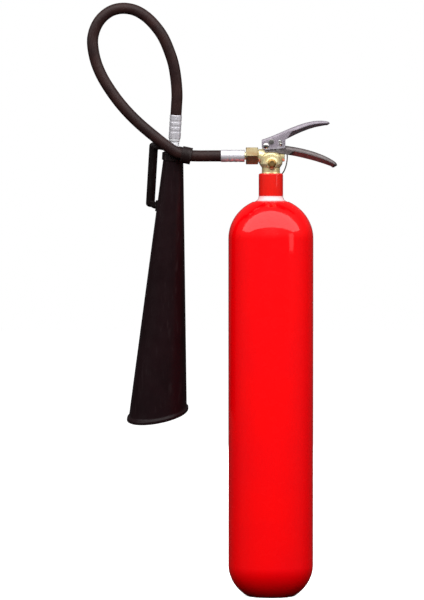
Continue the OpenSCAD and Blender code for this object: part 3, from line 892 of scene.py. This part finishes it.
def make_grip():
    """The CAD's grip with rounded elbows and a curved foot, melted into one moulding."""
    grip = cad_copy("grip_moulding", "horn_grip")
    bm = bmesh.new()
    elbow = through([(26, 0, 55.4), (38, 0, 55.6), (46.5, 0, 58.2), (51, 0, 64), (52, 0, 73)], 8)
    swept(bm, elbow, lambda t: 4.2 + 3.0 * smoothstep(0.25, 0.95, t), 20)
    foot = through([(52, 0, 134), (51.6, 0, 144), (47, 0, 150.4), (38, 0, 152), (28, 0, 150.6),
                    (20, 0, 149)], 8)
    swept(bm, foot, lambda t: 7.2 - 2.9 * smoothstep(0.05, 0.45, t), 20)
    joined(grip, to_object("elbows", bm, GRIP))
    as_piece(melted(grip, **GRIP_SKIN), "horn_grip", 60)


def make_clip():
    clip = melted(cad_copy("clip_moulding", "hose_clip"), **CLIP_SKIN)
    as_piece(clip, "hose_clip", 60)


def make_screws():
    """Two pan-head screws with a socket in each head."""
    head = SCREW_SEAT + 0.1
    profile = [(0, 15.2), (1.2, 15.2), (1.9, 16), (1.9, head), (3.8, head), (3.8, head + 0.5)]
    profile += arc(1.2, head + 0.5, 2.6, 1.75, 0, 90, 8)
    profile += [(1.6, head + 2.25), (1.5, head + 2.1), (1.5, head + 1), (0, head + 0.8)]
    both = at_screws("pan_screws", profile, 48, lambda r, z, a: socket_reach(r, z, a, head))
    as_piece(both, "grip_screws", 35)


def socket_reach(r, z, angle, head):
    """Six-sided socket in a screw's head, elsewhere round."""
    return hexagon(2.9, angle) if r in (1.5, 1.6) and z > head + 0.9 else r


make_horn()
make_grip()
make_clip()
make_screws()

# --------------------------------------
# Pressed levers, in the valve's heights
# --------------------------------------

SHEET = 2
HEM_SLOPE = 1.6  # how far a hem folds in, as a share of its height
HEM_SHARE = 0.8  # the most that it takes of the way to the spine
PIVOT_X = PIVOT_AT.x / MM
PIVOT_H = valve_height(PIVOT_AT.z)
PIN_X = EYE_AT.x / MM
PIN_H = valve_height(EYE_AT.z)
PRESS_AT = (0.5, 50.2)
RIVET_AT = (9.5, 39)
LEVER_TRAVEL = JOINTS["lever_squeeze"]["range_deg"][1]
HANDLE_HALF = 11.5
TIP_FROM = 80  # degrees round a tip's end at which the taper runs into it
TIP_STEPS = 20


def plan(xs, half, taper_x, tip_x, tip_r):
    """Half of a lever's plan from its back to its tip, as (x, y, spine x)."""
    made = [(x, half, x) for x in xs if x <= taper_x]
    join_x = tip_x + tip_r * math.cos(math.radians(TIP_FROM))
    join_y = tip_r * math.sin(math.radians(TIP_FROM))
    for x in xs:
        if taper_x < x < join_x - 0.5:
            share = (x - taper_x) / (join_x - taper_x)
            made.append((x, half + (join_y - half) * share, x))
    for x, y in arc(tip_x, 0, tip_r, tip_r, TIP_FROM, 0, TIP_STEPS):
        made.append((x, y, tip_x))
    return made


def plans(xs, half, taper_x, tip_x, tip_r):
    """The plans of a cover's outside and lining, with as many stations in each: both keep
    their tips."""
    outer = plan(xs, half, taper_x, tip_x, tip_r)
    inner = plan(xs, half - SHEET, taper_x, tip_x, tip_r - SHEET)
    tip = TIP_STEPS + 1
    body = min(len(outer), len(inner)) - tip
    return outer[:body] + outer[-tip:], inner[:body] + inner[-tip:]


def pressed_side(place, spine, low, top, roll, hem, lining):
    """Half of a pressed section: the hem folded in below, the skirt, the rolled shoulder and
    the top up to the spine. The lining is the same sheet's other side."""
    x, y = place
    inward = Vector((spine - x, -y))
    far = max(inward.length, 1e-6)
    inward /= far
    crown = height_at(top, x)
    crowded = max(1.0, (roll + hem) / max((crown - low) * 0.98, 0.1))
    roll, hem = roll / crowded, hem / crowded
    depth = SHEET if lining else 0.0
    shoulder = min(max(roll - depth, 0.0), far)
    fold = min(HEM_SLOPE * hem, HEM_SHARE * far)

    def up_to_top(inset, below):
        return inset, height_at(top, x + inward.x * inset) - below

    points = [(fold * (1 - i / 4), low + hem * i / 4) for i in range(5)]
    points += [(0.0, low + hem + (crown - roll - low - hem) * i / 4) for i in range(1, 4)]
    for i in range(8):
        turn = math.pi / 2 * i / 7
        points.append(up_to_top(shoulder * (1 - math.cos(turn)), roll - shoulder * math.sin(turn)))
    points += [up_to_top(shoulder + (far - shoulder) * i / 6, depth) for i in range(1, 7)]
    return [(x + inward.x * inset, y + inward.y * inset, z) for inset, z in points]


def pressed(bm, stations, inner, top, roll_at, hem_at):
    """A pressed steel cover. A station is a plan point, its spine and its lowest height."""
    rows = []
    for (x, y, spine, low), (ix, iy, inner_spine) in zip(stations, inner):
        outer = pressed_side((x, y), spine, low, top, roll_at(x), hem_at(x), False)
        lining = pressed_side((ix, iy), inner_spine, low, top, roll_at(x), hem_at(x), True)
        rows.append([(px, -py, pz) for px, py, pz in outer] + outer[::-1][1:]
                    + lining + [(px, -py, pz) for px, py, pz in lining[::-1][1:]])
    made = net(bm, rows, wrap_columns=True)
    bm.faces.new(made[0][::-1])


def slot_cutter(bm, from_angle, to_angle, radius, width, reach):
    """A curved slot about the pivot, between two angles in degrees, cut right across."""
    half = width / 2
    start, end = math.radians(from_angle), math.radians(to_angle)
    outline = arc(0, 0, radius + half, radius + half, from_angle, to_angle, 8)
    outline += arc(radius * math.cos(end), radius * math.sin(end), half, half,
                   to_angle, to_angle + 180, 8)[1:-1]
    outline += arc(0, 0, radius - half, radius - half, to_angle, from_angle, 8)
    outline += arc(radius * math.cos(start), radius * math.sin(start), half, half,
                   from_angle + 180, from_angle + 360, 8)[1:-1]
    net(bm, [[(x, y, -reach) for x, y in outline], [(x, y, reach) for x, y in outline]],
        wrap_columns=True, caps=True)


def make_squeeze_lever():
    top = [(-15, 53.8)] + [tuple(p) for p in bend([(-14, 54), (18, 63), (58, 92), (94, 82)])]
    under = [tuple(p) for p in bend([(92, 77), (70, 76), (50, 68), (23, 54)])][::-1]
    foot = arc(PIVOT_X, PIVOT_H, 6.5, 6.5, 180, 270, 10) + [(0, 38.3), (8, 38.9), (14, 39.5)]
    foot += [(20 + 3 * math.sin(math.radians(a)), 43 - 3 * math.cos(math.radians(a)))
             for a in range(0, 91, 15)] + [(23, 54)]
    xs = [x for x, z in foot] + [23 + (82 - 23) * i / 34 for i in range(1, 35)]
    lows = [z for x, z in foot]
    outer, inner = plans(xs, half=14, taper_x=40, tip_x=83, tip_r=11)
    stations = []
    for i, (x, y, spine) in enumerate(outer):
        low = lows[i] if i < len(lows) else height_at(under, x)
        stations.append((x, y, spine, low))
    bm = bmesh.new()
    pressed(bm, stations, inner, top, lambda x: 4.5 + 4.5 * smoothstep(24, 44, x),
            lambda x: 9 * smoothstep(23.5, 36, x))
    lever = to_object("lever_pressing", bm, VALVE)
    combined(lever, drill(2.55, crossing(PIVOT_X, PIVOT_H)))
    combined(lever, drill(3, crossing(*PRESS_AT)))
    reach = math.hypot(PIN_X - PIVOT_X, PIN_H - PIVOT_H)
    start = math.degrees(math.atan2(PIN_H - PIVOT_H, PIN_X - PIVOT_X))
    slot = bmesh.new()
    slot_cutter(slot, start, start + LEVER_TRAVEL, reach, 5, 20)
    combined(lever, to_object("pin_slot", slot, crossing(PIVOT_X, PIVOT_H)))
    as_piece(lever, "squeeze_lever", 32)


def make_carry_handle():
    top = [(5, 43.6), (21, 44.5)]
    top += [tuple(p) for p in bend([(21, 44.5), (50, 41), (84, 33), (106, 16)])]
    under = [tuple(p) for p in bend([(101, 9.5), (80, 18), (50, 27), (8, 33)])][::-1]
    xs = [21 + (96 - 21) * i / 44 for i in range(45)]
    outer, inner = plans(xs, half=HANDLE_HALF, taper_x=55, tip_x=97, tip_r=9)
    stations = [(x, y, spine, height_at(under, x)) for x, y, spine in outer]
    bm = bmesh.new()
    pressed(bm, stations, inner, top, lambda x: 7 + 1.5 * smoothstep(26, 44, x),
            lambda x: 9 * smoothstep(26, 40, x))
    handle = to_object("handle_pressing", bm, VALVE)
    for side in (-1, 1):
        combined(handle, handle_cheek(side), "UNION")
    for place, radius in (((PIVOT_X, PIVOT_H), 2.5), (RIVET_AT, 2), ((PIN_X, PIN_H), 2.3)):
        combined(handle, drill(radius, crossing(*place)))
    as_piece(handle, "carry_handle", 32)


def handle_cheek(side):
    """One of the handle's flat cheeks, which hold it to the valve on the pivot and pin."""
    ear = 5.6
    outline = arc(PIVOT_X, PIVOT_H, ear, ear, 0, 235, 22) + [(PIVOT_X - 2, 34.4), (PIVOT_X - 1, 34)]
    outline += [(8, 33.4), (16, 31.9), (24, 31.0), (24, 43.6)]
    outline += arc(PIN_X, PIN_H, ear, ear, -8, 180, 16)
    near, far = (HANDLE_HALF - SHEET) * side, HANDLE_HALF * side
    bm = bmesh.new()
    net(bm, [[(x, near, z) for x, z in outline], [(x, far, z) for x, z in outline]],
        wrap_columns=True, caps=True)
    return to_object("cheek", bm, VALVE)


make_squeeze_lever()
make_carry_handle()

# --------------------------------------
# Pins, rivets and the pull ring
# --------------------------------------


def make_pivot_rivet():
    half, head = 14.3, 4.6
    side = [(2.5, half - 0.01), (head - 0.3, half)] + arc(0, half, head, head * 0.5, 4, 90, 12)
    profile = [(r, -z) for r, z in side[::-1]] + side
    rivet = turned("pivot_pin", profile, 64, crossing(PIVOT_X, PIVOT_H))
    as_piece(rivet, "pivot_rivet", 35)


def make_press_pin():
    side = eased([(3, 13.5), (3, 14), (4.2, 14), (4.2, 15), (0, 15)], 0.3)[1:]
    side = [(3, 14.0)] + side
    profile = [(r, -z) for r, z in side[::-1]] + side
    as_piece(turned("press_roller", profile, 56, crossing(*PRESS_AT)), "press_pin", 35)


def make_safety_pin():
    """Turned pin with a stop collar and a flattened eye for the ring."""
    eye = EYE_AT.y / MM
    profile = eased([(0, -eye + 3), (2.25, -eye + 3), (2.25, -16.6), (3.85, -16.6), (3.85, -14.6),
                     (2.25, -14.6), (2.25, 16), (1.25, 17), (0, 17)], 0.35)
    pin = turned("pin_turned", profile, 48, crossing(PIN_X, PIN_H))
    hole_r, eye_r, half = 1.35, 4.2, 1.2
    outline = [(hole_r, 0), (hole_r, -half), (eye_r, -half), (eye_r, half), (hole_r, half),
               (hole_r, 0)]
    place = Matrix.Translation(EYE_AT) @ Matrix.Rotation(math.pi / 2, 4, "Y") @ SCALE
    combined(pin, turned("eye", eased(outline, 0.55, 5), 48, place), "UNION")
    as_piece(pin, "safety_pin", 35)


def make_pull_ring():
    """Wire ring, narrower at the bottom."""
    low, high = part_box("pull_ring")
    middle, half = (low.z + high.z) / 2, (high.z - low.z) / 2 - MM
    wide = 11 * MM
    steps = 120
    path = []
    for i in range(steps):
        turn = 2 * math.pi * i / steps
        path.append(Vector((EYE_AT.x + wide * math.cos(turn) * (1 + 0.2 * math.sin(turn)),
                            EYE_AT.y, middle + half * math.sin(turn))))
    bm = bmesh.new()
    swept(bm, path, MM, 20, closed=True)
    as_piece(to_object("ring_of_wire", bm), "pull_ring", 60)


make_pivot_rivet()
make_press_pin()
make_safety_pin()
make_pull_ring()

# --------------------------------------
# Studio: a pale floor, a white surround and soft lights. Only the camera sees the
# white: the object is lit by a darker surround, so paint and metal keep their depth.
# --------------------------------------


def make_floor():
    bm = bmesh.new()
    bmesh.ops.create_grid(bm, x_segments=1, y_segments=1, size=12)
    floor = to_object("floor", bm)
    white = bpy.data.materials.new("floor_white")
    white.use_nodes = True
    shader = white.node_tree.nodes["Principled BSDF"]
    shader.inputs["Base Color"].default_value = (0.9, 0.9, 0.9, 1)
    shader.inputs["Roughness"].default_value = 0.9
    shader.inputs["Specular IOR Level"].default_value = 0.0
    shader.inputs["Emission Color"].default_value = (1, 1, 1, 1)
    shader.inputs["Emission Strength"].default_value = 0.8
    floor.data.materials.append(white)
    floor.visible_glossy = False
    floor.visible_diffuse = False


def surround_light(tree):
    """What lights the object: dark below, lighter above, and dimmer behind it."""
    place = add_node(tree, "ShaderNodeTexCoord").outputs["Generated"]
    parts = add_node(tree, "ShaderNodeSeparateXYZ", {"Vector": place}).outputs
    height = add_node(tree, "ShaderNodeMapRange", {"Value": parts["Z"], "From Min": -1})
    ramp = add_node(tree, "ShaderNodeValToRGB", {"Fac": height.outputs["Result"]})
    stops = ramp.color_ramp.elements
    stops[0].position, stops[0].color = 0.24, (0.008, 0.006, 0.006, 1)
    stops[1].position, stops[1].color = 1.0, (0.5, 0.5, 0.5, 1)
    for position, grey in ((0.42, 0.08), (0.5, 0.15), (0.62, 0.34)):
        stops.new(position).color = (grey, grey, grey, 1)
    behind = add_node(tree, "ShaderNodeMapRange",
                      {"Value": parts["Y"], "From Min": -0.3, "From Max": 0.5,
                       "To Min": 1.0, "To Max": 0.3}, interpolation_type="SMOOTHSTEP")
    dimmed = add_node(tree, "ShaderNodeVectorMath",
                      {0: ramp.outputs["Color"], "Scale": behind.outputs["Result"]},
                      operation="SCALE")
    return dimmed.outputs[0]


def make_surround():
    world = bpy.data.worlds.new("studio")
    bpy.context.scene.world = world
    world.use_nodes = True
    tree = world.node_tree
    to_camera = add_node(tree, "ShaderNodeLightPath").outputs["Is Camera Ray"]
    chosen = add_node(tree, "ShaderNodeMix", {"Factor": to_camera, 6: surround_light(tree),
                                              7: (1, 1, 1, 1)}, data_type="RGBA")
    tree.links.new(chosen.outputs[2], tree.nodes["Background"].inputs["Color"])


def soft_light(name, place, aim, size, power, in_mirrors=True):
    data = bpy.data.lights.new(name, "AREA")
    data.shape = "RECTANGLE"
    data.size, data.size_y = size
    data.energy = power
    light = bpy.data.objects.new(name, data)
    bpy.context.scene.collection.objects.link(light)
    light.location = place
    light.rotation_mode = "QUATERNION"
    light.rotation_quaternion = (Vector(aim) - Vector(place)).to_track_quat("-Z", "Y")
    light.visible_glossy = in_mirrors
    light.visible_camera = False


MIDDLE = (-0.1, 0, 0.5)
make_floor()
make_surround()
soft_light("front_fill", (0.0, -2.9, 1.9), MIDDLE, (2.2, 1.6), 90, in_mirrors=False)
soft_light("back_fill", (0.4, 3.2, 1.3), MIDDLE, (2.4, 2.0), 75, in_mirrors=False)
soft_light("ceiling", (-0.1, -1.25, 2.15), (-0.1, -1.25, 0.0), (10.0, 2.3), 190)
soft_light("right_window", (2.0, -1.35, 0.85), (0, 0, 0.85), (0.55, 0.6), 1.3)
bpy.context.scene.view_settings.view_transform = "Standard"
